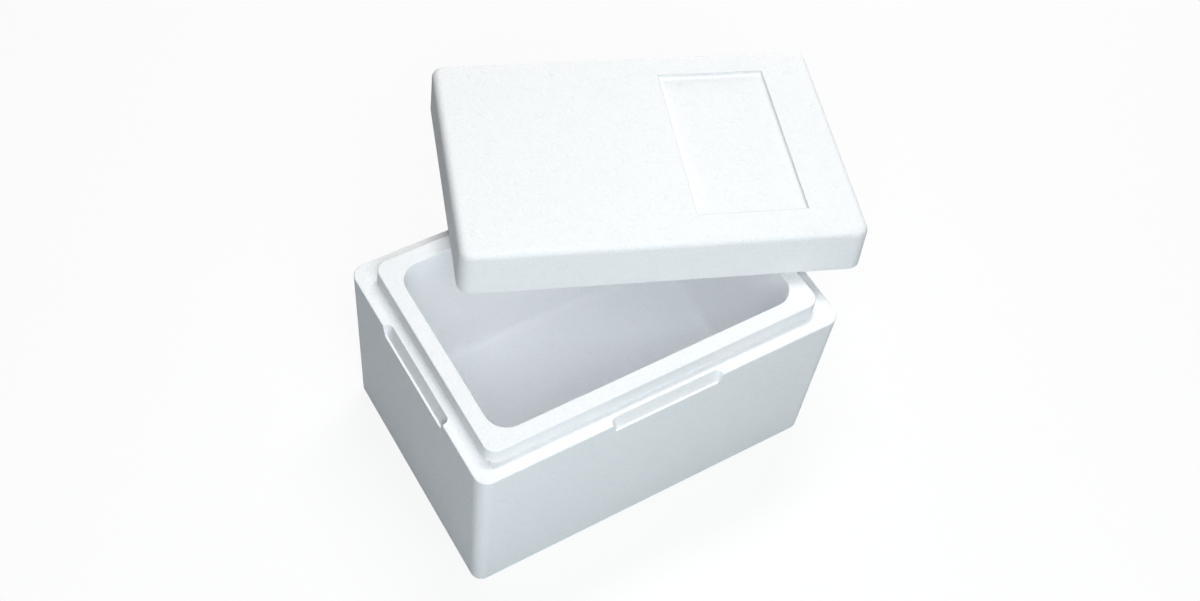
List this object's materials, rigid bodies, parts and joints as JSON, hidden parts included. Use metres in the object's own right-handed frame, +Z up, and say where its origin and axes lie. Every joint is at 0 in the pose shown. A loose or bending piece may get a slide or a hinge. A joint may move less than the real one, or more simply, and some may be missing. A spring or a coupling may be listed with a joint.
{
  "type": "insulated box",
  "caption": "Rectangular moulded foam insulated box with a raised inner lip, finger notches and a thick loose cap lid lying askew on top, with a recess for a label.",
  "frame": {"origin": "middle of the box's flat base, on the surface it stands on", "axes": "+Z up, +X along the box's long side towards the end that the lid leans over, -Y the front"},
  "size_m": [0.5374, 0.4275, 0.2845],
  "materials": {
    "foam": "matte moulded bead foam"
  },
  "bodies": {
    "box": {"box_body": "foam"},
    "lid": {"lid": "foam"}
  },
  "joints": [
    {"name": "lid_lift", "type": "slide", "parent": "box", "child": "lid", "axis": [0, 0, 1], "range_m": [0, 0.3]}
  ]
}
